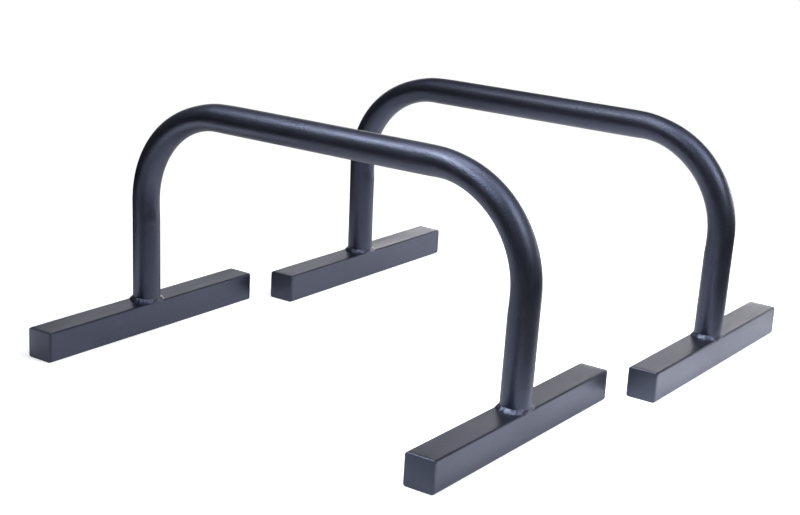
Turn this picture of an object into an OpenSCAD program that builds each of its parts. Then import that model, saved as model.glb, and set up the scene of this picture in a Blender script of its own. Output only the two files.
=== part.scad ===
// A pair of low parallel bars for floor training.
// Each bar is a bent round tube standing on two square feet, which lie across it.
// The origin is on the floor at the middle of the pair: +X runs along the grips,
// +Y from the near bar to the far bar, and +Z up.

/* [Handle] */
// Outside diameter of the handle tube
grip_d = 38; // [32:0.5:42]
// Wall of the handle tube
grip_wall = 2; // [1.5:0.25:3]
// Top of the grip above the floor
grip_height = 333; // [280:1:420]
// Width over the outsides of the two legs
handle_width = 640; // [560:1:720]
// Radius of the two bends, to the middle of the tube
bend_r = 130; // [90:1:150]

/* [Feet] */
// Outside width and height of the square foot tube
foot_size = 40; // [36:1:50]
// Wall of the foot tube
foot_wall = 2; // [1.5:0.25:3]
// Outside radius of the foot tube's corners
foot_corner_r = 4; // [3:0.5:6]
// Cut length of the foot tube, without its caps
foot_len = 387; // [300:1:460]
// Vent hole through the top of the foot, under the leg
vent_d = 8; // [4:0.5:12]

/* [End caps] */
// Thickness of the cap's head, outside the tube
cap_head = 2.5; // [1.5:0.25:4]
// Rounding of the head's outer edge
cap_edge_r = 1.2; // [0.5:0.1:1.4]
// Length of the plug, inside the tube
cap_plug_len = 16; // [10:1:30]
// Wall of the hollow plug
cap_plug_wall = 2; // [1.2:0.1:3]
// Number of gripping ribs round the plug
cap_ribs = 4; // [2:1:5]
// Height of a rib above the plug
cap_rib_h = 1.4; // [0.8:0.1:2]
// Thickness of a rib
cap_rib_t = 1.2; // [0.8:0.1:1.6]
// Gap between the ribs and the inside of the foot tube
cap_clear = 0.1; // [0.05:0.01:0.3]

/* [Welds] */
// Radius of the weld bead's round section
weld_r = 4; // [3:0.25:6]
// Distance of the bead's middle from the leg and from the top of the foot
weld_out = 1; // [0.5:0.1:2]
// How far the bead laps over the sides of the foot
weld_lap = 0.8; // [0.3:0.1:2]

/* [Pair] */
// Distance between the two grips, middle to middle
bar_spacing = 422; // [300:1:660]
// How far the far bar stands along +X from the near bar
bar_stagger = 54; // [52:1:120]

/* [Hidden] */
$fn = 96;
BARS = ["near", "far"];
SIDES = ["left", "right"];
ENDS = ["front", "rear"];
NODES = concat(
    [for (bar = BARS) str(bar, "_handle_tube")],
    [for (bar = BARS, side = SIDES) str(bar, "_", side, "_foot_tube")],
    [for (bar = BARS, side = SIDES, end = ENDS) str(bar, "_", side, "_", end, "_cap")],
    [for (bar = BARS, side = SIDES) str(bar, "_", side, "_weld")]
);
node = "all";

// Handle: where the legs stand, and where the bends begin
leg_x = (handle_width - grip_d) / 2;
bend_x = leg_x - bend_r;
grip_z = grip_height - grip_d / 2;
bend_z = grip_z - bend_r;
grip_bore_d = grip_d - 2 * grip_wall;

// Feet: the hollow, and the least radius that an inside corner keeps
least_r = 0.5;
foot_inside = foot_size - 2 * foot_wall;
foot_inside_r = max(foot_corner_r - foot_wall, least_r);

// Caps: the ribs follow the hollow of the foot, and the plug stands inside them
rib_size = foot_inside - 2 * cap_clear;
rib_corner_r = max(foot_inside_r - cap_clear, least_r);
plug_size = rib_size - 2 * cap_rib_h;
plug_bore = plug_size - 2 * cap_plug_wall;
rib_pitch = cap_plug_len / cap_ribs;

// Cuts run this far past the faces that they open
over = 1;

coat_colour = [0.10, 0.10, 0.12];
foot_colour = [0.13, 0.13, 0.15];
cap_colour = [0.06, 0.06, 0.07];
weld_colour = [0.16, 0.16, 0.19];

// Square with round corners, made of squares and circles so that its arcs stay true
module round_square(size, r) {
    inner = size - 2 * r;
    square([inner, size], center = true);
    square([size, inner], center = true);
    for (x = [-1, 1], y = [-1, 1])
        translate([x * inner / 2, y * inner / 2])
            circle(r = r);
}

// Bar along Y with a round-cornered square section, from y = 0 towards +Y
module square_bar(size, r, length) {
    rotate([-90, 0, 0])
        linear_extrude(height = length)
            round_square(size, r);
}

// Round bar of diameter d along the handle: leg, bend, grip, bend, leg.
// Both ends run past the top of the feet by "past".
module handle_run(d, past) {
    translate([-bend_x, 0, grip_z])
        rotate([0, 90, 0])
            cylinder(d = d, h = 2 * bend_x);
    for (side = [0, 1])
        mirror([side, 0, 0]) {
            translate([bend_x, 0, bend_z])
                rotate([90, 0, 0])
                    rotate_extrude(angle = 90)
                        translate([bend_r, 0])
                            circle(d = d);
            translate([leg_x, 0, foot_size - past])
                cylinder(d = d, h = bend_z - foot_size + past);
        }
}

// Bent tube, whose legs end flat on the feet
module handle_tube() {
    color(coat_colour)
        difference() {
            handle_run(grip_d, 0);
            handle_run(grip_bore_d, over);
        }
}

// Square tube along Y, centred under its leg
module foot_tube() {
    color(foot_colour)
        difference() {
            translate([0, -foot_len / 2, foot_size / 2])
                square_bar(foot_size, foot_corner_r, foot_len);
            translate([0, -foot_len / 2 - over, foot_size / 2])
                square_bar(foot_inside, foot_inside_r, foot_len + 2 * over);
            translate([0, 0, foot_size / 2])
                cylinder(d = vent_d, h = foot_size / 2 + over);
        }
}

// Half of the head's section: x runs out from the middle, and y away from the tube
module head_half(half_width) {
    intersection() {
        square([half_width, cap_head]);
        union() {
            square([half_width, cap_head - cap_edge_r]);
            square([half_width - cap_edge_r, cap_head]);
            translate([half_width - cap_edge_r, cap_head - cap_edge_r])
                circle(r = cap_edge_r);
        }
    }
}

// Head of a cap, from its seat on the tube at y = 0 out to y = -cap_head:
// two crossed plates with round edges, and a round-edged disc in each corner
module head_plate() {
    inner = foot_size - 2 * foot_corner_r;
    for (turn = [0, 90])
        rotate([0, turn, 180])
            linear_extrude(height = inner, center = true)
                for (side = [0, 1])
                    mirror([side, 0])
                        head_half(foot_size / 2);
    for (x = [-1, 1], z = [-1, 1])
        translate([x * inner / 2, 0, z * inner / 2])
            rotate([90, 0, 0])
                rotate_extrude()
                    head_half(foot_corner_r);
}

// Plug with a flat head: a hollow square sleeve with ribs that grip the tube.
// Its seat is at y = 0, and it points into the tube along +Y.
module end_cap() {
    color(cap_colour)
        translate([0, 0, foot_size / 2]) {
            head_plate();
            difference() {
                union() {
                    square_bar(plug_size, least_r, cap_plug_len);
                    for (i = [0 : cap_ribs - 1])
                        translate([0, (i + 0.5) * rib_pitch - cap_rib_t / 2, 0])
                            square_bar(rib_size, rib_corner_r, cap_rib_t);
                }
                square_bar(plug_bore, least_r, cap_plug_len + over);
            }
        }
}

// Fillet weld round the bottom of a leg. It fills the gap over the foot's round
// edges and laps a little over the foot's sides.
module weld_bead() {
    color(weld_colour)
        difference() {
            intersection() {
                rotate_extrude()
                    translate([grip_d / 2 + weld_out, foot_size + weld_out])
                        circle(r = weld_r);
                translate([0, 0, foot_size])
                    cube([foot_size + 2 * weld_lap, 2 * grip_d, 4 * weld_r], center = true);
            }
            translate([0, 0, foot_size])
                cylinder(d = grip_d, h = 4 * weld_r);
            translate([0, -grip_d, foot_size / 2])
                square_bar(foot_size, foot_corner_r, 2 * grip_d);
        }
}

// Puts one bar where it stands in the pair: 0 is the near bar, 1 the far bar
module bar_place(i) {
    translate([(i - 0.5) * bar_stagger, (i - 0.5) * bar_spacing, 0])
        children();
}

// Puts a piece under one leg: 0 is the left side, 1 the right side
module side_place(i) {
    translate([(2 * i - 1) * leg_x, 0, 0])
        children();
}

// Puts a cap on one end of its foot: 0 is the front end, 1 the rear end
module end_place(i) {
    rotate([0, 0, 180 * i])
        translate([0, -foot_len / 2, 0])
            children();
}

function wanted(name) = node == "all" || node == name;

for (b = [0, 1])
    bar_place(b) {
        if (wanted(str(BARS[b], "_handle_tube"))) handle_tube();
        for (s = [0, 1])
            side_place(s) {
                if (wanted(str(BARS[b], "_", SIDES[s], "_foot_tube"))) foot_tube();
                if (wanted(str(BARS[b], "_", SIDES[s], "_weld"))) weld_bead();
                for (e = [0, 1])
                    end_place(e)
                        if (wanted(str(BARS[b], "_", SIDES[s], "_", ENDS[e], "_cap"))) end_cap();
            }
    }
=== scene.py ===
"""Looks for a pair of low parallel bars: bent handles, square feet, push-in end caps and weld beads.

The file is laid out as an add-on. Each group of like pieces has an operator, the stage has another,
and a panel in the 3D view's sidebar lists them. All lengths are in metres, in the frame of the
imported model: +X along the grips, +Y from the near bar to the far bar, and +Z up.
"""

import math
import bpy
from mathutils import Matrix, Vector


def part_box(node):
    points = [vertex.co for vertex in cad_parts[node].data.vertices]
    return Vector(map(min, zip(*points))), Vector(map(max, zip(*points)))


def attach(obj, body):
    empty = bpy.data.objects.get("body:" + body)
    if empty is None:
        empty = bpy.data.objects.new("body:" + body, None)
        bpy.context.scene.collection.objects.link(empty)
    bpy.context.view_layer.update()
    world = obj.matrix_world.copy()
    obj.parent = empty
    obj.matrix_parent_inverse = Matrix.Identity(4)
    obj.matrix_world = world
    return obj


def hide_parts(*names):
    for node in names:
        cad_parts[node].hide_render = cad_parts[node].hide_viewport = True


bl_info = {
    "name": "Parallette Bars",
    "version": (1, 0, 0),
    "blender": (4, 5, 0),
    "location": "View3D > Sidebar > Bars",
    "description": "Builds the coated handles, feet, end caps and welds of a pair of parallette bars",
    "category": "Add Mesh",
}

import bpy
import numpy as np
from bpy.props import FloatProperty, FloatVectorProperty, IntProperty, PointerProperty
from mathutils import Matrix, Vector

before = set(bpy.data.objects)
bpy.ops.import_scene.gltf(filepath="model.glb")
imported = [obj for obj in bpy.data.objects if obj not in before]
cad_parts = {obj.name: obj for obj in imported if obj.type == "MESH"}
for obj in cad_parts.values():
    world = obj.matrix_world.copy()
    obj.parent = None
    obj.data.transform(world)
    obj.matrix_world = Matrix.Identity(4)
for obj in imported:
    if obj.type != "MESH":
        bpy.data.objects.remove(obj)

BARS = ("near", "far")
SIDES = ("left", "right")
ENDS = ("front", "rear")


def node_box(node):
    """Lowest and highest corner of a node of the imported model, as arrays."""
    low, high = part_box(node)
    return np.array(low), np.array(high)


# One piece of each kind, from which the sizes below take their defaults
HANDLE_LOW, HANDLE_HIGH = node_box("near_handle_tube")
FOOT_LOW, FOOT_HIGH = node_box("near_left_foot_tube")
CAP_LOW, CAP_HIGH = node_box("near_left_front_cap")
WELD_TOP = node_box("near_left_weld")[1][2]


def length(name, description, default):
    """A length property, in metres."""
    return FloatProperty(name=name, description=description, default=default, unit="LENGTH", precision=5)


def share(name, description, default):
    """A property from 0 to 1."""
    return FloatProperty(name=name, description=description, default=default, min=0, max=1, subtype="FACTOR")


def colour(name, description, default):
    """A colour property."""
    return FloatVectorProperty(name=name, description=description, default=default, subtype="COLOR")


class HandleSizes(bpy.types.PropertyGroup):
    """Sizes of a bent handle tube."""

    diameter: length("Diameter", "Outside diameter of the tube", HANDLE_HIGH[1] - HANDLE_LOW[1])
    wall: length("Wall", "Thickness of the tube's wall", 0.002)
    width: length("Width", "Width over the outsides of the legs", HANDLE_HIGH[0] - HANDLE_LOW[0])
    top: length("Top", "Height of the grip's top above the floor", HANDLE_HIGH[2])
    seat: length("Seat", "Height of the legs' ends above the floor", HANDLE_LOW[2])
    bend_radius: length("Bend radius", "Radius of the bends, to the middle of the tube", 0.132)
    lean: FloatProperty(
        name="Lean",
        description="How far the bends turn past a right angle, so that the legs lean in",
        default=math.radians(0.9),
        subtype="ANGLE",
    )
    left_flat: length("Left flat", "Depth that the bender flattens the outside of the left bend", 0.0029)
    right_flat: length("Right flat", "Depth that the bender flattens the outside of the right bend", 0.0018)
    inner_flat: length("Inner flat", "Depth of the die's mark on the inside of a bend", 0.0013)


class FootSizes(bpy.types.PropertyGroup):
    """Sizes of a square foot tube."""

    size: length("Size", "Outside width and height of the tube", FOOT_HIGH[0] - FOOT_LOW[0])
    wall: length("Wall", "Thickness of the tube's wall", 0.002)
    corner: length("Corner", "Outside radius of the tube's corners", 0.0023)
    inner_corner: length("Inner corner", "Inside radius of the tube's corners", 0.0012)
    cut_edge: length("Cut edge", "Rounding of the sawn ends", 0.0008)
    vent: length("Vent", "Diameter of the vent hole under the leg", 0.008)
    hollow: length("Hollow", "How far the rolled faces fall in between their corners", 0.00012)
    inward: length("Inward", "How far the leaning legs bring the feet together, each", 0.0019)


class CapSizes(bpy.types.PropertyGroup):
    """Sizes of a push-in end cap."""

    head: length("Head", "Thickness of the head outside the tube", FOOT_LOW[1] - CAP_LOW[1])
    corner: length("Corner", "Radius of the head's corners", 0.0030)
    edge: length("Edge", "Rounding of the head's outer edge", 0.0010)
    back_edge: length("Back edge", "Rounding of the head's edge towards the tube", 0.0005)
    gap: length("Gap", "Joint between the head and the sawn end of the tube", 0.0005)
    crown: length("Crown", "How far the middle of the head stands over its rim", 0.0004)
    plug_length: length("Plug length", "Length of the plug inside the tube", CAP_HIGH[1] - FOOT_LOW[1])
    plug_wall: length("Plug wall", "Thickness of the plug's wall", 0.002)
    clearance: length("Clearance", "Gap between the ribs and the inside of the tube", 0.0001)
    ribs: IntProperty(name="Ribs", description="Number of ribs round the plug", default=4, min=1)
    rib_height: length("Rib height", "Height of a rib above the plug", 0.0014)
    rib_width: length("Rib width", "Thickness of a rib", 0.0012)


class WeldSizes(bpy.types.PropertyGroup):
    """Sizes of the weld bead round a leg."""

    leg: length("Leg", "How far the bead climbs the leg and reaches over the foot", WELD_TOP - FOOT_HIGH[2])
    bulge: length("Bulge", "How far the middle of the bead's face stands out", 0.0004)
    lap: length("Lap", "How far the bead stands out over the sides of the foot", 0.0003)
    ripples: IntProperty(name="Ripples", description="Number of ripples round the bead", default=62, min=3)
    ripple_depth: length("Ripple depth", "Height of a ripple", 0.00004)
    crumb: length("Crumb", "Height of the bead's fine unevenness", 0.00003)
    lump: length("Lump", "Height of the lumps where the bead starts and stops", 0.0003)


class CoatLook(bpy.types.PropertyGroup):
    """Colours and finish of the powder coat and the cap plastic."""

    coat: colour("Coat", "Colour of the powder coat", (0.0065, 0.0065, 0.0100))
    coat_sheen: colour("Coat sheen", "Tint of the coat's reflection", (0.62, 0.69, 1.0))
    handle_roughness: share("Handle roughness", "Roughness of the coat on the handles", 0.41)
    foot_roughness: share("Foot roughness", "Roughness of the coat on the feet", 0.34)
    weld_roughness: share("Weld roughness", "Roughness of the coat on the weld beads", 0.39)
    grain_size: length("Grain size", "Size of the coat's grain", 0.0027)
    grain_depth: length("Grain depth", "Height of the coat's grain", 0.00010)
    waviness: length("Waviness", "Height of the slow unevenness of the feet's faces", 0.00022)
    cap: colour("Cap", "Colour of the cap plastic", (0.034, 0.036, 0.050))
    cap_roughness: share("Cap roughness", "Roughness of the cap plastic", 0.38)
    dust: colour("Dust", "Colour of dust and rub marks", (0.20, 0.19, 0.18))


def lamp_power(name, description, default):
    """The power of a lamp, in watts."""
    return FloatProperty(name=name, description=description, default=default, min=0, unit="POWER")


class StageLook(bpy.types.PropertyGroup):
    """The floor's white, and the powers of the lamps."""

    floor: colour("Floor", "Colour of the floor", (0.85, 0.85, 0.85))
    floor_glow: share("Floor glow", "Light of the white floor itself, beside what the lamps give it", 0.62)
    floor_shade: share("Floor shade", "How much of the lamps' light the floor adds to its own", 1.0)
    key: lamp_power("Key lamps", "Power of the gridded softboxes above the left and the front", 1.8)
    top: lamp_power("Top lamps", "Power of the soft lamps overhead", 5.8)
    side: lamp_power("Side lamps", "Power of the softboxes high on the right", 4.4)
    back: lamp_power("Back lamp", "Power of the low white strip behind the bars", 11.8)


def smooth_step(x, start, end):
    """0 before start, 1 after end, and 3 t squared minus 2 t cubed between them."""
    t = np.clip((x - start) / (end - start), 0, 1)
    return t * t * (3 - 2 * t)


def bell(x, centre, width):
    """Bell curve of height 1: e to the power of minus the squared distance from the centre in widths."""
    return np.exp(-(((x - centre) / width) ** 2))


def ring_quads(count, around, joined):
    """Corners of the quads between each ring of points and the next. Joined also closes the last ring to
    the first."""
    first = np.arange(count if joined else count - 1)[:, None] * around
    second = (first + around) % (count * around)
    here = np.arange(around)[None, :]
    beside = (here + 1) % around
    return np.stack([first + here, first + beside, second + beside, second + here], axis=-1).reshape(-1, 4)


def volume(points, triangles):
    """Signed volume: a sixth of the sum of each triangle's triple product of corners."""
    a, b, c = (points[triangles[:, i]] for i in range(3))
    return np.einsum("ij,ij->i", a, np.cross(b, c)).sum() / 6


def skin(rings, joined=True):
    """Points and outward faces of a closed skin over rings of points. Joined rings make a hollow ring
    or tube wall, and others close with a fan of triangles to the middle of the first and last ring."""
    count, around = rings.shape[:2]
    points = rings.reshape(-1, 3)
    quads = ring_quads(count, around, joined)
    fans = np.zeros((0, 3), int)
    if not joined:
        here = np.arange(around)
        beside = (here + 1) % around
        first, last = count * around, count * around + 1
        points = np.vstack([points, rings[0].mean(0), rings[-1].mean(0)])
        base = (count - 1) * around
        fans = np.vstack([
            np.stack([np.full(around, first), beside, here], axis=1),
            np.stack([np.full(around, last), base + here, base + beside], axis=1),
        ])
    triangles = np.vstack([quads[:, [0, 1, 2]], quads[:, [0, 2, 3]], fans])
    if volume(points - points.mean(0), triangles) < 0:
        quads, fans = quads[:, ::-1], fans[:, ::-1]
    return points, quads.tolist() + fans.tolist()


def make_mesh(name, points, faces, sharp=math.radians(40)):
    """Mesh with smooth shading, and edges left sharp where its faces meet at more than that angle."""
    mesh = bpy.data.meshes.new(name)
    mesh.from_pydata(points.tolist(), [], faces)
    mesh.polygons.foreach_set("use_smooth", np.ones(len(mesh.polygons), bool))
    mesh.set_sharp_from_angle(angle=sharp)
    mesh.validate()
    return mesh


def add_piece(name, mesh, material, bar, node):
    """Adds an object with a finished mesh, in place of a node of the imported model, riding on its bar."""
    piece = bpy.data.objects.new(name, mesh)
    bpy.context.scene.collection.objects.link(piece)
    mesh.materials.append(material)
    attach(piece, bar + "_bar")
    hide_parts(node)


def leg_push(sizes):
    """How far the lean moves the top of a leg out, when the leg turns about the middle of its height."""
    leg_height = sizes.top - sizes.diameter / 2 - sizes.bend_radius - sizes.seat
    return math.tan(sizes.lean) * leg_height / 2


def handle_frame(sizes):
    """Half of the grip's straight length, the turn of a whole bend, and the way along the middle line
    from the middle of the grip to the end of a leg."""
    radius, full_turn = sizes.bend_radius, math.pi / 2 + sizes.lean
    half_grip = (sizes.width - sizes.diameter) / 2 - radius + leg_push(sizes)
    drop = sizes.top - sizes.diameter / 2 - radius * (1 - math.cos(full_turn)) - sizes.seat
    return half_grip, full_turn, half_grip + radius * full_turn + drop / math.sin(full_turn)


def handle_rings(t, angle, inset, sizes):
    """Rings of the handle's wall, at distances t along the middle line from the middle of the grip.
    The line is straight on the grip, an arc in each bend and straight again on the legs. Each ring is a
    circle round it, drawn in by the inset, and squashed where the bender held it. The outside of a bend is
    flattened by a bell curve of the way past the grip's end, steeper before its peak than after it. The
    inside is flattened at the leg's end, where the die leaves a step, and on the right near the grip.
    Where the tube is flattened, it widens to the front and the rear. Towards the end of each leg the
    rings turn level, so that the leg ends flat on its foot."""
    radius = sizes.bend_radius
    half_grip, full_turn, reach = handle_frame(sizes)
    side = np.where(t < 0, -1.0, 1.0)
    along = np.abs(t)
    turn = np.clip((along - half_grip) / radius, 0, full_turn)
    down = np.maximum(along - half_grip - radius * full_turn, 0)
    x = np.minimum(along, half_grip) + radius * np.sin(turn) + down * math.cos(full_turn)
    z = sizes.top - sizes.diameter / 2 - radius * (1 - np.cos(turn)) - down * math.sin(full_turn)
    centre = np.stack([side * x, 0 * x, z], axis=1)
    past = along - half_grip
    left = t < 0
    peak = np.where(left, 0.043, 0.035)
    rise, fall = np.where(left, 0.038, 0.030), np.where(left, 0.075, 0.060)
    depth = np.where(left, sizes.left_flat, sizes.right_flat)
    outer = depth * bell(past, peak, np.where(past < peak, rise, fall))
    bend = smooth_step(past, -0.01, 0.03) * (1 - smooth_step(down, 0, 0.01))
    die = bell(turn, full_turn, 0.45) * (1 - smooth_step(down, 0.008, 0.026))
    pinch = np.where(left, 0, 0.6 * bell(past, 0.035, 0.035))
    inner = sizes.inner_flat * (np.where(left, 1.1, 0.75) * die + 0.4 * bend * (1 - die) + pinch)
    c, s = np.cos(angle)[None, :], np.sin(angle)[None, :]
    squash = outer[:, None] * np.clip(c, 0, 1) ** 2 + inner[:, None] * np.clip(-c, 0, 1) ** 2
    size = sizes.diameter / 2 - inset - squash + 0.12 * (outer + inner)[:, None] * s**2
    level = turn - sizes.lean * smooth_step(reach - along, 0.08, 0)
    out = np.stack([side * np.sin(level), 0 * t, np.cos(level)], axis=1)
    rings = centre[:, None, :] + (size * c)[:, :, None] * out[:, None, :]
    rings[:, :, 1] += size * s
    return rings


def handle_wall(sizes, around=96, outer_count=340, inner_count=140):
    """Rings over the outside of the tube from the left leg's end to the right one's, and back inside."""
    reach = handle_frame(sizes)[2]
    angle = np.linspace(0, 2 * math.pi, around, endpoint=False)
    outside = handle_rings(np.linspace(-reach, reach, outer_count), angle, 0, sizes)
    inside = handle_rings(np.linspace(reach, -reach, inner_count), angle, sizes.wall, sizes)
    return np.concatenate([outside, inside])


def foot_box(bar, side, sizes):
    """Lowest and highest corner of a foot tube, where its leaning leg puts it."""
    low, high = node_box(f"{bar}_{side}_foot_tube")
    shift = np.array([sizes.inward if side == "left" else -sizes.inward, 0, 0])
    return low + shift, high + shift


def round_square(half, corner, flat_steps=14, arc_steps=8):
    """Points round a square with round corners, as many for each half width and corner radius given.
    Each quarter is a corner arc, then a side whose points crowd towards its ends."""
    half = np.atleast_1d(half)[:, None]
    corner = np.atleast_1d(corner)[:, None]
    arc = np.linspace(0, math.pi / 2, arc_steps, endpoint=False)
    spread = -np.cos(np.linspace(0, math.pi, flat_steps, endpoint=False))
    arc_x, arc_z = half - corner + corner * np.cos(arc), half - corner + corner * np.sin(arc)
    side_x, side_z = -(half - corner) * spread, half + 0 * spread
    x = np.concatenate([arc_x, side_x], axis=1)
    z = np.concatenate([arc_z, side_z], axis=1)
    return np.concatenate([x, -z, -x, z], axis=1), np.concatenate([z, x, -z, -x], axis=1)


def foot_wall(low, high, sizes, outer_count=90, inner_count=24):
    """Rings over the outside of a foot tube from front to rear, and back inside. The section is a square
    with round corners. Its top and its sides fall in a little between their corners, as a parabola, and
    the sawn ends have a small round edge, whose points follow a quarter circle."""
    edge = sizes.cut_edge
    arc = np.linspace(0, math.pi / 2, 5)
    from_end = edge * (1 - np.sin(arc))
    from_side = edge * (1 - np.cos(arc))
    front, rear = low[1], high[1]
    middle = np.linspace(front + edge, rear - edge, outer_count + 2)[1:-1]
    outside = np.concatenate([front + from_end[::-1], middle, rear - from_end])
    inset = np.concatenate([from_side[::-1], 0 * middle, from_side])
    y = np.concatenate([outside, np.linspace(rear, front, inner_count)])
    half = sizes.size / 2 - np.concatenate([inset, np.full(inner_count, sizes.wall)])
    corner = np.concatenate([sizes.corner - inset, np.full(inner_count, sizes.inner_corner)])
    x, z = round_square(half, corner)
    span = sizes.size / 2 - sizes.corner
    fall = sizes.hollow * (np.arange(len(y)) < len(outside))[:, None]
    side_fall = fall * np.clip(1 - (z / span) ** 2, 0, 1)
    top_fall = fall * np.clip(1 - (x / span) ** 2, 0, 1) * (z > 0)
    x = x - np.sign(x) * side_fall * (np.abs(x) > span)
    z = z - top_fall * (z > span)
    centre = (low + high) / 2
    return np.stack([centre[0] + x, np.broadcast_to(y[:, None], x.shape), centre[2] + z], axis=-1)


def cut_vent(mesh, centre, top, sizes):
    """Drills the vent hole through the top wall of a foot, under its leg."""
    reach = 2 * sizes.wall
    angle = np.linspace(0, 2 * math.pi, 48, endpoint=False)
    ring = np.stack([np.cos(angle), np.sin(angle), 0 * angle], axis=1) * sizes.vent / 2
    levels = np.array([-reach, reach])[:, None, None] * np.array([0.0, 0.0, 1.0])
    drill = ring[None] + levels + np.array([centre[0], centre[1], top])
    cutter = bpy.data.objects.new("vent_drill", make_mesh("vent_drill", *skin(drill, joined=False)))
    tube = bpy.data.objects.new("drilled_foot", mesh)
    for made in (cutter, tube):
        bpy.context.scene.collection.objects.link(made)
    cut = tube.modifiers.new("Vent", "BOOLEAN")
    cut.object = cutter
    cut.operation = "DIFFERENCE"
    cut.solver = "EXACT"
    drilled = bpy.data.meshes.new_from_object(tube.evaluated_get(bpy.context.evaluated_depsgraph_get()))
    for made in (cutter, tube):
        old = made.data
        bpy.data.objects.remove(made)
        bpy.data.meshes.remove(old)
    return drilled


def cap_rings(seat, outward, sizes, foot):
    """Rings of an end cap from the middle of its head round to the middle of the head's underside: out
    over the crowned face, round the edge, round the back edge, along the ribbed plug and back inside it.
    The crown falls from the middle as one minus the square of the way to the rim, in both directions."""
    outer = foot.size / 2
    hollow = outer - foot.wall
    rib = hollow - sizes.clearance
    plug = rib - sizes.rib_height
    bore = plug - sizes.plug_wall
    under = sizes.head - sizes.gap
    arc = np.linspace(0, math.pi / 2, 7)
    back_arc = np.linspace(0, math.pi / 2, 5)
    face_half = (outer - sizes.edge) * np.linspace(0, 1, 12)[1:]
    edge_half = outer - sizes.edge * (1 - np.sin(arc[1:]))
    edge_depth = sizes.edge * (1 - np.cos(arc[1:]))
    back_half = outer - sizes.back_edge * (1 - np.cos(back_arc))
    back_depth = under - sizes.back_edge * (1 - np.sin(back_arc))
    pitch = sizes.plug_length / sizes.ribs
    rib_start = sizes.head + (np.arange(sizes.ribs) + 0.5) * pitch - sizes.rib_width / 2
    rib_end = rib_start + sizes.rib_width
    rib_depth = np.stack([rib_start, rib_start, rib_end, rib_end], axis=1)
    rib_half = np.tile([plug, rib, rib, plug], sizes.ribs)
    end = sizes.head + sizes.plug_length
    head_half = np.concatenate([face_half, edge_half, back_half])
    bore_half, bore_depth = [plug, bore, bore, bore / 2], [end, end, sizes.head, sizes.head]
    half = np.concatenate([head_half, [plug], rib_half, bore_half])
    depth = np.concatenate([0 * face_half, edge_depth, back_depth, [under], rib_depth.ravel(), bore_depth])
    head = np.arange(len(half)) < len(head_half)
    corner = np.where(head, sizes.corner * half / outer, np.minimum(foot.inner_corner, half / 4))
    x, z = round_square(half, corner)
    crown = sizes.crown * (1 - np.clip(1 - (x / outer) ** 2, 0, 1) * np.clip(1 - (z / outer) ** 2, 0, 1))
    crowned = head[:, None] * np.clip(1 - depth / under, 0, 1)[:, None]
    y = seat[1] + outward * (sizes.head - depth[:, None] - crown * crowned)
    return np.stack([seat[0] + x, y, seat[2] + z], axis=-1)


def foot_surface(over, top, foot):
    """Height of a foot's top at a distance from its middle line: level, then down a quarter circle."""
    past = np.clip(over - foot.size / 2 + foot.corner, 0, foot.corner)
    return top - foot.corner + np.sqrt(foot.corner**2 - past**2)


def random_waves(random, turns, lowest, count, across=0.0):
    """Sum of sines round the leg, of random phase, with the lowest number of waves and its multiples.
    Across slants their crests over the width of the bead."""
    number = lowest * np.arange(1, count + 1)
    phase = random.uniform(0, 2 * math.pi, count)
    slant = random.uniform(-1, 1, count)
    waves = sum(np.sin(n * turns + p + k * across) for n, p, k in zip(number, phase, slant))
    return waves / math.sqrt(count)


def weld_rings(centre, foot_x, top, leg_radius, sizes, foot, lumps, seed):
    """Rings round the weld bead, one at each angle round the leg. The section's face is a straight line
    from the leg down to the foot with a low parabola over it, and ripples shaped like crescents. Its reach
    over the foot is the smooth least of the bead's own size and the way to the side of the foot, so
    that it turns down over the round edge there. The rest of the section runs back just under
    the foot's surface and up inside the leg, one to three bites deep."""
    random = np.random.default_rng(seed)
    bite, blend = 0.0002, 0.0004
    turns = np.linspace(0, 2 * math.pi, 540, endpoint=False)[:, None]
    face = np.linspace(0, 1, 20)[None, :]
    cosine = np.cos(turns)
    climb = sizes.leg * (1 + 0.07 * random_waves(random, turns, 3, 5) - 0.15 * cosine**8)
    toe = sizes.leg * (1 + 0.08 * random_waves(random, turns, 4, 5))
    side_room = foot.size / 2 + sizes.lap + np.sign(cosine) * (foot_x - centre[0])
    room = side_room / np.maximum(np.abs(cosine), 0.2) - leg_radius
    reach = -blend * np.log(np.exp(-toe / blend) + np.exp(-room / blend))

    def height(out):
        """Height of the foot's surface at a distance out from the leg."""
        return foot_surface(np.abs(centre[0] + (leg_radius + out) * cosine - foot_x), top, foot)

    low = height(reach) - bite
    run, drop = reach + bite, top + climb - low
    parabola = 4 * face * (1 - face)
    crescent = 2.6 * (2 * face - 1) ** 2
    ripple = np.abs(np.sin(0.5 * (sizes.ripples * turns + crescent))) ** 0.7
    proud = sizes.bulge * parabola + sizes.ripple_depth * (ripple - 0.5) * np.sqrt(parabola)
    proud = proud + sizes.crumb * random_waves(random, turns, 17, 9, across=12 * face) * np.sqrt(parabola)
    for where, high, wide in lumps:
        apart = np.angle(np.exp(1j * (turns - where)))
        proud = proud + sizes.lump * high * bell(apart, 0, wide) * parabola
    chord = np.hypot(run, drop)
    face_out = -bite + face * run + proud * drop / chord
    face_z = top + climb - face * drop + proud * run / chord
    back = np.linspace(0, 1, 9)[None, 1:]
    back_out = reach - back * (reach + 3 * bite)
    back_z = height(back_out) - 2 * bite
    up = np.linspace(0, 1, 5)[None, 1:-1]
    up_out = -3 * bite + 0 * up * turns
    up_z = back_z[:, -1:] + up * (top + climb - back_z[:, -1:])
    out = np.concatenate([face_out, back_out, up_out], axis=1)
    z = np.concatenate([face_z, back_z, up_z], axis=1)
    x = centre[0] + (leg_radius + out) * cosine
    y = centre[1] + (leg_radius + out) * np.sin(turns)
    return np.stack([x, y, z], axis=-1)


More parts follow.
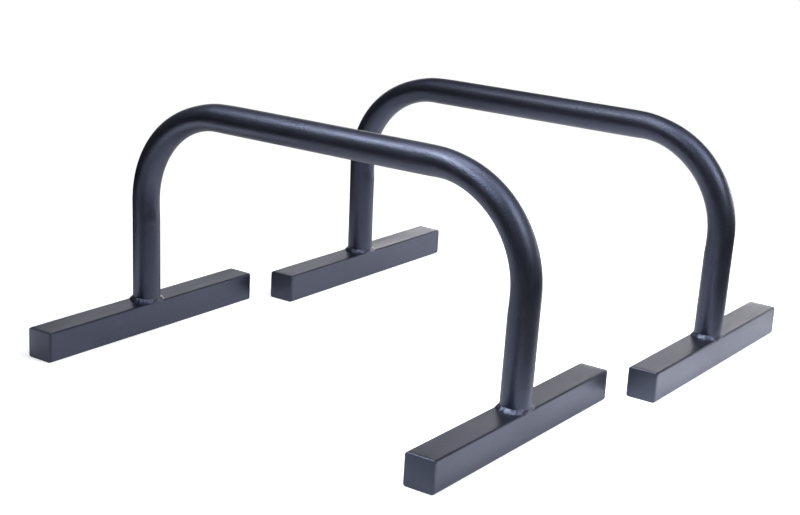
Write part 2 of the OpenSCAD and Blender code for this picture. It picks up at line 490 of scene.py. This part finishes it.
class Nodes:
    """Shorthand for building a node tree: makes nodes, sets their values and links them."""

    def __init__(self, tree):
        self.tree = tree

    def add(self, kind, settings=None, **values):
        """Node of that kind, with settings on the node and values or links on its named inputs."""
        node = self.tree.nodes.new(kind)
        for key, value in (settings or {}).items():
            setattr(node, key, value)
        for key, value in values.items():
            self.put(node.inputs[key.replace("_", " ")], value)
        return node

    def put(self, socket, value):
        """Links an output to the socket, or sets its value."""
        if isinstance(value, bpy.types.NodeSocket):
            self.tree.links.new(value, socket)
        else:
            socket.default_value = value

    def maths(self, operation, *values):
        """Result of a Math node."""
        node = self.add("ShaderNodeMath", {"operation": operation})
        for socket, value in zip(node.inputs, values):
            self.put(socket, value)
        return node.outputs[0]

    def times(self, product, *factors):
        """Product of all the values."""
        for factor in factors:
            product = self.maths("MULTIPLY", product, factor)
        return product

    def remap(self, value, low, high, to_low, to_high, smooth=True):
        """Value taken from one range to another, smoothly at both ends."""
        kind = "SMOOTHSTEP" if smooth else "LINEAR"
        node = self.add("ShaderNodeMapRange", {"interpolation_type": kind})
        for socket, number in zip(node.inputs, (value, low, high, to_low, to_high)):
            self.put(socket, number)
        return node.outputs[0]

    def blend(self, factor, first, second):
        """Colour from first to second by the factor."""
        node = self.add("ShaderNodeMix", {"data_type": "RGBA"})
        for socket, value in zip((node.inputs[0], node.inputs[6], node.inputs[7]), (factor, first, second)):
            self.put(socket, value)
        return node.outputs[2]

    def noise(self, vector, scale, detail, roughness=0.5):
        """Noise from 0 to 1, with about that many spots in a metre."""
        node = self.add("ShaderNodeTexNoise", Vector=vector, Scale=scale, Detail=detail, Roughness=roughness)
        return node.outputs["Fac"]


def new_group(name, inputs, outputs):
    """Empty shader node group with named inputs and outputs. Inputs give a name, a type and a default."""
    tree = bpy.data.node_groups.new(name, "ShaderNodeTree")
    for socket_name, kind, default in inputs:
        socket = tree.interface.new_socket(socket_name, in_out="INPUT", socket_type=kind)
        socket.default_value = default
    for socket_name, kind in outputs:
        tree.interface.new_socket(socket_name, in_out="OUTPUT", socket_type=kind)
    nodes = Nodes(tree)
    return nodes, nodes.add("NodeGroupInput").outputs, nodes.add("NodeGroupOutput").inputs


def grain_group():
    """Grain of a fine texture powder coat: rounded pimples with a finer noise over them."""
    nodes, given, result = new_group(
        "Coat Grain",
        [("Vector", "NodeSocketVector", (0, 0, 0)), ("Size", "NodeSocketFloat", 0.002)],
        [("Height", "NodeSocketFloat")],
    )
    pitch = nodes.maths("DIVIDE", 1.0, given["Size"])
    pimples = nodes.noise(given["Vector"], pitch, 1.0, 0.45)
    fine = nodes.noise(given["Vector"], nodes.times(pitch, 2.7), 1.0)
    shaped = nodes.remap(pimples, 0.3, 0.7, 0.0, 1.0)
    nodes.put(result["Height"], nodes.maths("MULTIPLY_ADD", fine, 0.35, shaped))
    return nodes.tree


def mottle_group():
    """Slow unevenness of a finish: clouds, and drawn-out smudges along one way of the piece."""
    nodes, given, result = new_group(
        "Coat Mottle",
        [("Vector", "NodeSocketVector", (0, 0, 0)), ("Stretch", "NodeSocketVector", (1, 1, 1))],
        [("Clouds", "NodeSocketFloat"), ("Smudge", "NodeSocketFloat")],
    )
    mapping = nodes.add("ShaderNodeMapping", Vector=given["Vector"], Scale=given["Stretch"]).outputs[0]
    clouds = nodes.noise(mapping, 22.0, 3.0, 0.55)
    smudge = nodes.noise(mapping, 46.0, 4.0, 0.62)
    nodes.put(result["Clouds"], nodes.remap(clouds, 0.3, 0.7, 0.0, 1.0))
    nodes.put(result["Smudge"], nodes.remap(smudge, 0.52, 0.74, 0.0, 1.0))
    return nodes.tree


def speck_group():
    """Sparse specks of dust: small dots at the points of a cell pattern, in a few cells only."""
    nodes, given, result = new_group(
        "Dust Specks",
        [
            ("Vector", "NodeSocketVector", (0, 0, 0)),
            ("Cells", "NodeSocketFloat", 90.0),
            ("Share", "NodeSocketFloat", 0.05),
        ],
        [("Mask", "NodeSocketFloat")],
    )
    cells = nodes.add("ShaderNodeTexVoronoi", Vector=given["Vector"], Scale=given["Cells"])
    dots = nodes.remap(cells.outputs["Distance"], 0.03, 0.09, 1.0, 0.0)
    pick = nodes.add("ShaderNodeSeparateColor", Color=cells.outputs["Color"]).outputs[0]
    chosen = nodes.maths("LESS_THAN", pick, given["Share"])
    nodes.put(result["Mask"], nodes.times(dots, chosen))
    return nodes.tree


def shared_group(name):
    """A node group by its name, made the first time that it is asked for."""
    makers = {"Coat Grain": grain_group, "Coat Mottle": mottle_group, "Dust Specks": speck_group}
    return bpy.data.node_groups.get(name) or makers[name]()


def new_material(name):
    """Material with a Principled shader. Returns it, its nodes, the shader and the object coordinates."""
    material = bpy.data.materials.new(name)
    material.use_nodes = True
    nodes = Nodes(material.node_tree)
    shader = material.node_tree.nodes["Principled BSDF"]
    place = nodes.add("ShaderNodeTexCoord").outputs["Object"]
    return material, nodes, shader, place


def put_group(nodes, name, **values):
    """A shared node group, placed in a material with its own values."""
    node = nodes.add("ShaderNodeGroup", {"node_tree": shared_group(name)})
    for key, value in values.items():
        nodes.put(node.inputs[key], value)
    return node.outputs


def set_relief(nodes, shader, height, scale=1.0):
    """Gives a shader a bumpy normal, from a height times the scale, in metres."""
    bump = nodes.add("ShaderNodeBump", Strength=1.0, Distance=scale, Height=height)
    nodes.put(shader.inputs["Normal"], bump.outputs[0])


def coat_material(name, look, roughness, grain, waves=0, stretch=(1, 1, 1), smudges=0):
    """Black powder coat: a dark base with a faint cool sheen, a grain that breaks up its highlights, and
    slow changes of gloss with a few smudges and specks of dust. Grain and waves are heights in metres.
    Stretch draws the slow changes out along the piece, and smudges is their strength from 0 to 1."""
    material, nodes, shader, place = new_material(name)
    grains = put_group(nodes, "Coat Grain", Vector=place, Size=look.grain_size)
    mottle = put_group(nodes, "Coat Mottle", Vector=place, Stretch=stretch)
    specks = put_group(nodes, "Dust Specks", Vector=place)
    smudge = nodes.times(mottle["Smudge"], smudges)
    dusty = nodes.maths("MAXIMUM", smudge, specks["Mask"])
    dark = (*[0.85 * part for part in look.coat], 1)
    pale = (*[1.15 * part for part in look.coat], 1)
    base = nodes.blend(mottle["Clouds"], dark, pale)
    nodes.put(shader.inputs["Base Color"], nodes.blend(dusty, base, (*look.dust, 1)))
    uneven = nodes.remap(mottle["Clouds"], 0.0, 1.0, roughness - 0.03, roughness + 0.04, smooth=False)
    nodes.put(shader.inputs["Roughness"], nodes.maths("MULTIPLY_ADD", smudge, 0.25, uneven))
    slow = nodes.times(mottle["Clouds"], waves)
    set_relief(nodes, shader, nodes.maths("MULTIPLY_ADD", grains["Height"], grain, slow))
    shader.inputs["IOR"].default_value = 1.7
    shader.inputs["Specular IOR Level"].default_value = 1.0
    shader.inputs["Specular Tint"].default_value = (*look.coat_sheen, 1)
    return material


def cap_material(look):
    """Black moulded plastic with a fine matt texture and slightly paler rubbed patches."""
    material, nodes, shader, place = new_material("cap_plastic")
    grains = put_group(nodes, "Coat Grain", Vector=place, Size=0.0009)
    mottle = put_group(nodes, "Coat Mottle", Vector=place, Stretch=(1.5, 1.5, 1.0))
    rubbed = nodes.times(mottle["Smudge"], 0.06)
    nodes.put(shader.inputs["Base Color"], nodes.blend(rubbed, (*look.cap, 1), (*look.dust, 1)))
    rough = look.cap_roughness
    uneven = nodes.remap(mottle["Clouds"], 0.0, 1.0, rough - 0.04, rough + 0.05, smooth=False)
    nodes.put(shader.inputs["Roughness"], uneven)
    set_relief(nodes, shader, grains["Height"], 0.000012)
    shader.inputs["Specular IOR Level"].default_value = 1.0
    shader.inputs["Specular Tint"].default_value = (*look.coat_sheen, 1)
    return material


class BARS_OT_handles(bpy.types.Operator):
    """Adds the bent handle tube of each bar"""

    bl_idname = "bars.add_handles"
    bl_label = "Add Handle Tubes"

    def execute(self, context):
        scene = context.scene
        look = scene.bar_coat
        material = coat_material("handle_coat", look, look.handle_roughness, look.grain_depth, smudges=0.01)
        for bar in BARS:
            name = bar + "_bent_handle"
            node = bar + "_handle_tube"
            low, high = node_box(node)
            middle = (low + high) / 2
            rings = handle_wall(scene.bar_handle) + np.array([middle[0], middle[1], 0])
            add_piece(name, make_mesh(name, *skin(rings)), material, bar, node)
        return {"FINISHED"}


class BARS_OT_feet(bpy.types.Operator):
    """Adds the square foot tubes, with their vent holes"""

    bl_idname = "bars.add_feet"
    bl_label = "Add Foot Tubes"

    def execute(self, context):
        scene = context.scene
        look = scene.bar_coat
        material = coat_material(
            "foot_coat", look, look.foot_roughness, 0.8 * look.grain_depth,
            waves=look.waviness, stretch=(1, 0.35, 1), smudges=0.05,
        )
        for bar in BARS:
            for side in SIDES:
                name = f"{bar}_{side}_square_foot"
                node = f"{bar}_{side}_foot_tube"
                low, high = foot_box(bar, side, scene.bar_foot)
                mesh = make_mesh(name, *skin(foot_wall(low, high, scene.bar_foot)))
                mesh = cut_vent(mesh, (low + high) / 2, high[2], scene.bar_foot)
                mesh.name = name
                add_piece(name, mesh, material, bar, node)
        return {"FINISHED"}


class BARS_OT_caps(bpy.types.Operator):
    """Adds the push-in caps at both ends of each foot"""

    bl_idname = "bars.add_caps"
    bl_label = "Add End Caps"

    def execute(self, context):
        scene = context.scene
        material = cap_material(scene.bar_coat)
        for bar in BARS:
            for side in SIDES:
                low, high = foot_box(bar, side, scene.bar_foot)
                middle = (low + high) / 2
                for end, outward, y in zip(ENDS, (-1, 1), (low[1], high[1])):
                    name = f"{bar}_{side}_{end}_end_cap"
                    rings = cap_rings((middle[0], y, middle[2]), outward, scene.bar_cap, scene.bar_foot)
                    mesh = make_mesh(name, *skin(rings, joined=False))
                    add_piece(name, mesh, material, bar, f"{bar}_{side}_{end}_cap")
        return {"FINISHED"}


# Lumps of each weld bead: turn round the leg from +X, height as a share of the full one, and width.
# Turns and widths are in radians.
WELD_LUMPS = {
    ("near", "left"): ((-1.9, 0.4, 0.22), (-0.9, 0.3, 0.16)),
    ("near", "right"): ((-2.2, 0.3, 0.3), (-0.95, 0.5, 0.12)),
    ("far", "left"): ((-1.6, 0.4, 0.2), (-0.45, 0.6, 0.07)),
    ("far", "right"): ((-2.35, 1.4, 0.1), (-1.0, 0.4, 0.2)),
}


class BARS_OT_welds(bpy.types.Operator):
    """Adds the weld bead round the bottom of each leg"""

    bl_idname = "bars.add_welds"
    bl_label = "Add Weld Beads"

    def execute(self, context):
        scene = context.scene
        look = scene.bar_coat
        handle = scene.bar_handle
        material = coat_material("weld_coat", look, look.weld_roughness, 0.15 * look.grain_depth)
        # Each foot stands a little further in than the end of its leg
        further_in = scene.bar_foot.inward - leg_push(handle)
        for i, bar in enumerate(BARS):
            for k, side in enumerate(SIDES):
                name = f"{bar}_{side}_weld_bead"
                low, high = foot_box(bar, side, scene.bar_foot)
                middle = (low + high) / 2
                back_out = further_in * (-1 if side == "left" else 1)
                centre = (middle[0] + back_out, middle[1])
                rings = weld_rings(
                    centre, middle[0], high[2], handle.diameter / 2, scene.bar_weld, scene.bar_foot,
                    WELD_LUMPS[bar, side], seed=11 + 2 * i + k,
                )
                mesh = make_mesh(name, *skin(rings), sharp=math.radians(75))
                add_piece(name, mesh, material, bar, f"{bar}_{side}_weld")
        return {"FINISHED"}


def empty_nodes(owner):
    """Emptied node tree of a material or a world."""
    owner.use_nodes = True
    owner.node_tree.nodes.clear()
    return Nodes(owner.node_tree)


def painted_floor_pool(nodes, place, distance):
    """How bright mirrored rays see the floor: a painted pool of light round the bars, which fades at its
    left, right and front edges and with the distance. Its painted light is brighter towards the back, at the
    right end and at the near left corner, and a painted shade dims it in front of the right legs. All of
    these are products of edges along X and Y. An edge is given by where it starts and ends, in metres, and
    its values there."""
    x, y, _ = nodes.add("ShaderNodeSeparateXYZ", Vector=place).outputs
    across = nodes.times(nodes.remap(x, -0.70, -0.50, 0.2, 1.0), nodes.remap(x, 0.40, 0.49, 1.0, 0.1))
    deep = nodes.times(nodes.remap(y, -0.80, -0.45, 0.35, 0.75), nodes.remap(y, -0.1, 0.6, 1.0, 1.6))
    left = nodes.times(nodes.remap(x, -0.48, -0.32, 2.6, 0.0), nodes.remap(y, -0.45, -0.25, 1.0, 0.0))
    right = nodes.times(nodes.remap(x, 0.26, 0.36, 0.0, 0.8), nodes.remap(y, -0.5, 0.2, 0.3, 1.0))
    # Painted shade: the pool is made dimmer in front of the right legs
    dim = nodes.times(nodes.remap(x, 0.10, 0.35, 0.0, 0.8), nodes.remap(y, -0.55, -0.40, 1.0, 0.0))
    # Painted light: brighter patches at the near left corner and at the right end
    bright = nodes.maths("ADD", 1.0, nodes.maths("ADD", left, right))
    fade = nodes.remap(distance, 0.65, 1.05, 1.0, 0.1)
    return nodes.times(across, deep, nodes.maths("SUBTRACT", 1.0, dim), bright, fade)


def floor_material(look):
    """White floor. To the camera, part of its white is its own light, and the rest comes from the lamps, so
    that the shadow stays soft and pale. Far away all of it is its own. Mirrored rays see a painted pool of
    light, whose pattern the floor partly gives off as its own glow and partly puts in its white under the
    lamps. The light that spreads from one matt surface to another sees a plain white floor."""
    material = bpy.data.materials.new("floor_white")
    nodes = empty_nodes(material)
    place = nodes.add("ShaderNodeTexCoord").outputs["Object"]
    far = nodes.add("ShaderNodeVectorMath", {"operation": "LENGTH"})
    nodes.put(far.inputs[0], place)
    distance = far.outputs["Value"]
    path = nodes.add("ShaderNodeLightPath").outputs
    direct = nodes.maths("MAXIMUM", path["Is Camera Ray"], path["Is Transmission Ray"])
    # The painted pool of light that only mirrored rays see: part glow, part white under the lamps
    mirrored = nodes.times(path["Is Glossy Ray"], painted_floor_pool(nodes, place, distance))
    own = nodes.times(direct, nodes.remap(distance, 0.50, 0.80, look.floor_glow, 1.0))
    glow = nodes.maths("MULTIPLY_ADD", mirrored, 0.45, own)
    lent = nodes.times(direct, nodes.remap(distance, 0.75, 1.20, look.floor_shade, 0.0))
    shade = nodes.maths("MULTIPLY_ADD", mirrored, 0.70, lent)
    both = nodes.add("ShaderNodeAddShader")
    nodes.put(both.inputs[0], nodes.add("ShaderNodeEmission", Strength=glow).outputs[0])
    lit = nodes.add("ShaderNodeBsdfDiffuse", Color=nodes.blend(shade, (0, 0, 0, 1), (1, 1, 1, 1)))
    nodes.put(both.inputs[1], lit.outputs[0])
    mix = nodes.add("ShaderNodeMixShader")
    nodes.put(mix.inputs[0], nodes.maths("MAXIMUM", direct, path["Is Glossy Ray"]))
    nodes.put(mix.inputs[1], nodes.add("ShaderNodeBsdfDiffuse", Color=(*look.floor, 1)).outputs[0])
    nodes.put(mix.inputs[2], both.outputs[0])
    nodes.add("ShaderNodeOutputMaterial", Surface=mix.outputs[0])
    return material


def set_world():
    """World: white to the camera. To mirrored rays it is a studio: a white backdrop low behind the bars,
    brighter on the left, which fades upwards and towards the dark side where the camera stands. A faint
    light comes from all round."""
    world = bpy.data.worlds.new("studio")
    bpy.context.scene.world = world
    nodes = empty_nodes(world)
    way = nodes.add("ShaderNodeTexCoord").outputs["Generated"]
    split = nodes.add("ShaderNodeSeparateXYZ", Vector=way).outputs
    behind = nodes.remap(split["Y"], 0.3, 0.75, 0.0, 1.0)
    low_down = nodes.remap(split["Z"], 0.20, 0.41, 0.92, 0.10)
    left = nodes.remap(split["X"], -0.62, -0.38, 1.55, 1.0)
    path = nodes.add("ShaderNodeLightPath").outputs
    direct = nodes.maths("MAXIMUM", path["Is Camera Ray"], path["Is Transmission Ray"])
    studio = nodes.times(path["Is Glossy Ray"], left, behind, low_down)
    fill = nodes.maths("MAXIMUM", studio, 0.08)
    strength = nodes.maths("MAXIMUM", direct, fill)
    back = nodes.add("ShaderNodeBackground", Color=(1, 1, 1, 1), Strength=strength)
    nodes.add("ShaderNodeOutputWorld", Surface=back.outputs[0])


def add_lamp(look, name, kind, part, tint, place, aim, size, spread):
    """Adds a soft rectangular lamp at a place, facing the point that it is aimed at, unseen by the camera.
    It has its part of the power of its kind of lamp. A spread under 180 degrees is a softbox with a grid,
    whose light goes mostly straight ahead."""
    light = bpy.data.lights.new(name, "AREA")
    light.shape = "RECTANGLE"
    light.size, light.size_y = size
    light.spread = math.radians(spread)
    light.energy = part * getattr(look, kind)
    light.color = tint
    lamp = bpy.data.objects.new(name, light)
    bpy.context.scene.collection.objects.link(lamp)
    lamp.location = place
    lamp.rotation_euler = (Vector(aim) - Vector(place)).to_track_quat("-Z", "Y").to_euler()
    lamp.visible_camera = False


def add_camera():
    """Camera at the photograph's viewpoint: it looks at a point on the floor from an azimuth, an elevation
    and a distance, and is rolled a little."""
    azimuth, elevation, roll = (math.radians(angle) for angle in (34.605, 15.744, 3.185))
    distance, lens = 2.5176, 67.83
    target = Vector((-0.280, 0.3355, 0.0))
    level = math.cos(elevation)
    back = Vector((math.sin(azimuth) * level, -math.cos(azimuth) * level, math.sin(elevation)))
    right = (-back).cross(Vector((0, 0, 1))).normalized()
    up = right.cross(-back)
    axis_x = math.cos(roll) * right + math.sin(roll) * up
    axis_y = -math.sin(roll) * right + math.cos(roll) * up
    data = bpy.data.cameras.new("camera")
    data.lens = lens
    data.sensor_width = 36.0
    camera = bpy.data.objects.new("camera", data)
    bpy.context.scene.collection.objects.link(camera)
    turned = Matrix((axis_x, axis_y, back)).transposed().to_4x4()
    camera.matrix_world = Matrix.Translation(target + back * distance) @ turned
    bpy.context.scene.camera = camera


# The part is the lamp's share of the power that its kind has in the stage's properties
LAMPS = (
    dict(
        name="key_softbox", kind="key", part=0.40, tint=(1.0, 0.95, 0.84),
        place=(-0.41, -0.77, 1.72), aim=(0.15, -0.21, 0.33), size=(0.7, 0.7), spread=30,
    ),
    dict(
        name="left_softbox", kind="key", part=0.33, tint=(0.76, 0.88, 1.0),
        place=(-0.60, -0.85, 1.66), aim=(0.20, -0.45, 0.33), size=(0.7, 0.7), spread=30,
    ),
    dict(
        name="front_softbox", kind="key", part=0.27, tint=(0.78, 0.89, 1.0),
        place=(0.20, -1.41, 1.61), aim=(0.20, -0.45, 0.33), size=(0.7, 0.7), spread=30,
    ),
    dict(
        name="side_wide_softbox", kind="side", part=0.39, tint=(0.84, 0.88, 1.0),
        place=(1.12, 0.31, 1.70), aim=(0.35, 0.21, 0.30), size=(1.2, 1.2), spread=60,
    ),
    dict(
        name="side_softbox", kind="side", part=0.43, tint=(1.0, 0.99, 0.92),
        place=(1.12, 0.31, 1.70), aim=(0.35, 0.21, 0.30), size=(1.0, 1.0), spread=35,
    ),
    dict(
        name="side_low_softbox", kind="side", part=0.18, tint=(1.0, 0.98, 0.97),
        place=(1.61, -0.08, 1.26), aim=(0.33, 0.0, 0.30), size=(1.0, 1.0), spread=35,
    ),
    dict(
        name="ceiling_lamp", kind="top", part=0.84, tint=(0.88, 0.92, 1.0),
        place=(0.0, 0.0, 1.60), aim=(0.0, 0.0, 0.0), size=(0.6, 0.6), spread=180,
    ),
    dict(
        name="left_ceiling_lamp", kind="top", part=0.16, tint=(0.60, 0.75, 1.0),
        place=(-1.20, 0.0, 1.60), aim=(-1.20, 0.0, 0.0), size=(0.6, 0.6), spread=180,
    ),
    dict(
        name="back_strip", kind="back", part=1.00, tint=(1.0, 0.96, 0.93),
        place=(-0.30, 2.0, 0.24), aim=(-0.30, 0.0, 0.24), size=(2.5, 0.28), spread=180,
    ),
)


class BARS_OT_stage(bpy.types.Operator):
    """Adds the floor, the backdrop's light, the lamps and the camera"""

    bl_idname = "bars.add_stage"
    bl_label = "Add Stage"

    def execute(self, context):
        look = context.scene.bar_stage
        reach, under_feet = 40.0, 0.0002
        corners = np.array([[-1, -1, 0], [1, -1, 0], [1, 1, 0], [-1, 1, 0]]) * reach
        corners[:, 2] = -under_feet
        mesh = bpy.data.meshes.new("floor")
        mesh.from_pydata(corners.tolist(), [], [(0, 1, 2, 3)])
        mesh.materials.append(floor_material(look))
        floor = bpy.data.objects.new("floor", mesh)
        context.scene.collection.objects.link(floor)
        set_world()
        for lamp in LAMPS:
            add_lamp(look, **lamp)
        add_camera()
        context.scene.view_settings.view_transform = "Standard"
        return {"FINISHED"}


def list_properties(layout, group):
    """Shows all properties of a group in a layout."""
    for name in group.__annotations__:
        layout.prop(group, name)


class BARS_PT_sidebar(bpy.types.Panel):
    """Lists the coat, the pieces of the bars and the stage, with their sizes, colours and lamps"""

    bl_label = "Parallette Bars"
    bl_idname = "BARS_PT_sidebar"
    bl_space_type = "VIEW_3D"
    bl_region_type = "UI"
    bl_category = "Bars"

    def draw(self, context):
        coat = self.layout.box()
        coat.label(text="Coat and Plastic")
        list_properties(coat, context.scene.bar_coat)
        for operator, group in STEPS:
            box = self.layout.box()
            box.operator(operator)
            list_properties(box, getattr(context.scene, group))


STEPS = (
    ("bars.add_handles", "bar_handle"),
    ("bars.add_feet", "bar_foot"),
    ("bars.add_caps", "bar_cap"),
    ("bars.add_welds", "bar_weld"),
    ("bars.add_stage", "bar_stage"),
)
GROUPS = {
    "bar_handle": HandleSizes,
    "bar_foot": FootSizes,
    "bar_cap": CapSizes,
    "bar_weld": WeldSizes,
    "bar_coat": CoatLook,
    "bar_stage": StageLook,
}
CLASSES = (
    *GROUPS.values(),
    BARS_OT_handles,
    BARS_OT_feet,
    BARS_OT_caps,
    BARS_OT_welds,
    BARS_OT_stage,
    BARS_PT_sidebar,
)


def register():
    """Registers the classes and hangs their property groups on the scene."""
    for cls in CLASSES:
        bpy.utils.register_class(cls)
    for name, group in GROUPS.items():
        setattr(bpy.types.Scene, name, PointerProperty(type=group))


def unregister():
    """Takes the property groups off the scene and unregisters the classes."""
    for name in GROUPS:
        delattr(bpy.types.Scene, name)
    for cls in reversed(CLASSES):
        bpy.utils.unregister_class(cls)


def main():
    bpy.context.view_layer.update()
    register()
    bpy.ops.bars.add_handles()
    bpy.ops.bars.add_feet()
    bpy.ops.bars.add_caps()
    bpy.ops.bars.add_welds()
    bpy.ops.bars.add_stage()


if __name__ == "__main__":
    main()
